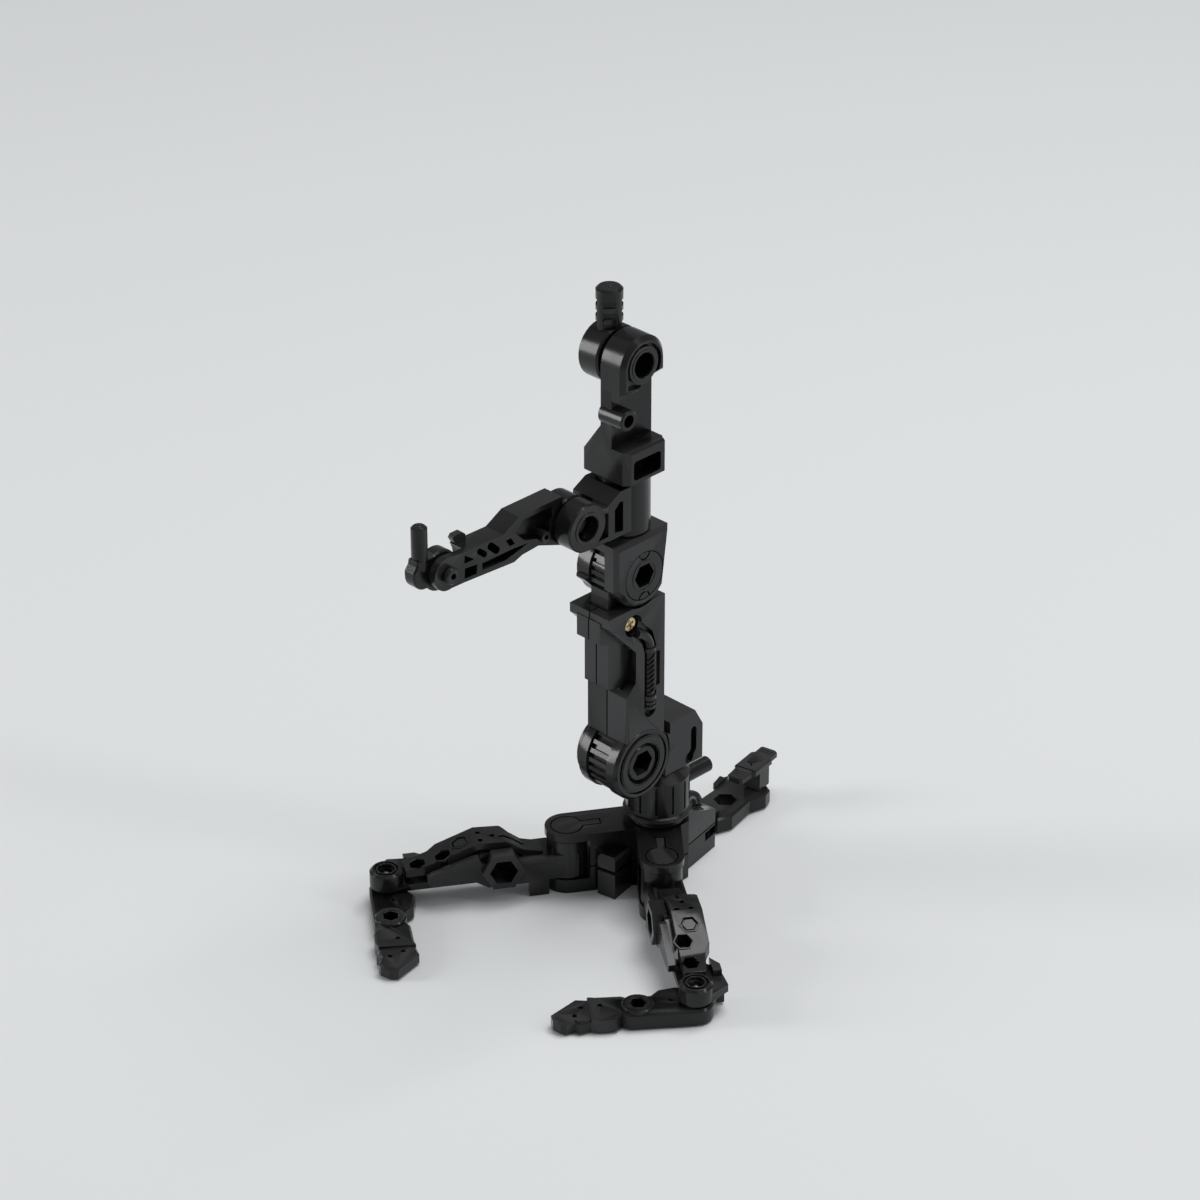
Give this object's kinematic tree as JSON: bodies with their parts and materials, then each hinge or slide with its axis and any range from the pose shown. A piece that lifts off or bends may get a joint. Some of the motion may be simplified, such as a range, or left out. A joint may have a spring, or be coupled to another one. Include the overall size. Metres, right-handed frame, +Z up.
{
  "type": "articulated display stand",
  "caption": "Black posable display stand for model figures: folding clawed base, turntable, hinged column, swinging side arm with a small peg and a tilting ribbed head peg.",
  "frame": {"origin": "on the floor, on the axis of the turntable", "axes": "+Z up; X along the hinge pins of the column; the side arm and the two clawed legs point towards -Y and the tail towards +Y"},
  "size_m": [0.0752, 0.0987, 0.1253],
  "materials": {
    "black_plastic": "satin moulded black plastic with fine grain and polished edges",
    "steel": "turned steel pins and screws",
    "brass": "plated brass cross-head screw"
  },
  "bodies": {
    "hub": {"hub_lower_shell": "black_plastic", "hub_upper_shell": "black_plastic", "leg_pivot_pin_left": "steel", "leg_pivot_pin_front": "steel", "hub_screw_1": "steel", "hub_screw_2": "steel", "turntable_spindle": "steel", "tail_pivot_pin": "black_plastic"},
    "turntable": {"turntable_cup": "black_plastic", "column_base_block": "black_plastic"},
    "lower_link": {"lower_link_shell_right": "black_plastic", "lower_link_shell_left": "black_plastic", "lower_link_core": "black_plastic", "lower_link_screw": "brass", "base_hinge_pin": "black_plastic"},
    "middle_yoke": {"middle_yoke": "black_plastic", "middle_hinge_pin": "black_plastic", "swivel_pin": "steel"},
    "arm_bracket": {"side_arm_bracket": "black_plastic"},
    "side_arm": {"side_arm": "black_plastic", "side_arm_root_pin": "steel"},
    "arm_tip": {"tip_peg": "black_plastic", "tip_peg_pin": "black_plastic"},
    "upper_block": {"upper_block": "black_plastic"},
    "head": {"head_peg": "black_plastic", "head_hinge_tube": "black_plastic"},
    "leg_left": {"leg_frame_left": "black_plastic", "leg_cover_left": "black_plastic", "ankle_screw_left": "steel"},
    "foot_left": {"claw_foot_left": "black_plastic"},
    "leg_front": {"leg_frame_front": "black_plastic", "leg_cover_front": "black_plastic", "ankle_screw_front": "steel"},
    "foot_front": {"claw_foot_front": "black_plastic"},
    "tail": {"tail_link": "black_plastic"},
    "clip": {"clip_plate": "black_plastic"}
  },
  "joints": [
    {"name": "turntable_swivel", "type": "hinge", "parent": "hub", "child": "turntable", "pos_m": [0, 0, 0.018], "axis": [0, 0, 1], "range_deg": [-180, 180]},
    {"name": "base_tilt", "type": "hinge", "parent": "turntable", "child": "lower_link", "pos_m": [0, -0.0092, 0.03], "axis": [1, 0, 0], "range_deg": [-12, 60]},
    {"name": "middle_tilt", "type": "hinge", "parent": "lower_link", "child": "middle_yoke", "pos_m": [0, -0.0095, 0.0702], "axis": [-1, 0, 0], "range_deg": [-45, 60]},
    {"name": "bracket_swivel", "type": "hinge", "parent": "middle_yoke", "child": "arm_bracket", "pos_m": [0, -0.0095, 0.084], "axis": [0, 0, 1], "range_deg": [-90, 90]},
    {"name": "side_arm_swing", "type": "hinge", "parent": "arm_bracket", "child": "side_arm", "pos_m": [0, -0.0238, 0.0853], "axis": [1, 0, 0], "range_deg": [-70, 85]},
    {"name": "tip_peg_tilt", "type": "hinge", "parent": "side_arm", "child": "arm_tip", "pos_m": [-0.00225, -0.0538, 0.0862], "axis": [1, 0, 0], "range_deg": [-20, 75]},
    {"name": "block_swivel", "type": "hinge", "parent": "middle_yoke", "child": "upper_block", "pos_m": [0, -0.0095, 0.093], "axis": [0, 0, 1], "range_deg": [-90, 90]},
    {"name": "head_tilt", "type": "hinge", "parent": "upper_block", "child": "head", "pos_m": [0, -0.0097, 0.1127], "axis": [1, 0, 0], "range_deg": [-90, 90]},
    {"name": "leg_left_swing", "type": "hinge", "parent": "hub", "child": "leg_left", "pos_m": [-0.00948, -0.01483, 0.007], "axis": [0, 0, 1], "range_deg": [-40, 25]},
    {"name": "foot_left_swing", "type": "hinge", "parent": "leg_left", "child": "foot_left", "pos_m": [-0.02833, -0.04396, 0.002], "axis": [0, 0, 1], "range_deg": [-95, 15]},
    {"name": "leg_front_swing", "type": "hinge", "parent": "hub", "child": "leg_front", "pos_m": [0.01082, -0.00995, 0.007], "axis": [0, 0, 1], "range_deg": [-25, 40]},
    {"name": "foot_front_swing", "type": "hinge", "parent": "leg_front", "child": "foot_front", "pos_m": [0.03904, -0.03015, 0.002], "axis": [0, 0, 1], "range_deg": [-15, 95]},
    {"name": "tail_swing", "type": "hinge", "parent": "hub", "child": "tail", "pos_m": [-0.00235, 0.01136, 0.0036], "axis": [0, 0, 1], "range_deg": [-12, 12]},
    {"name": "clip_swivel", "type": "hinge", "parent": "tail", "child": "clip", "pos_m": [-0.00378, 0.03108, 0.004], "axis": [0, 0, 1], "range_deg": [-90, 90]}
  ]
}
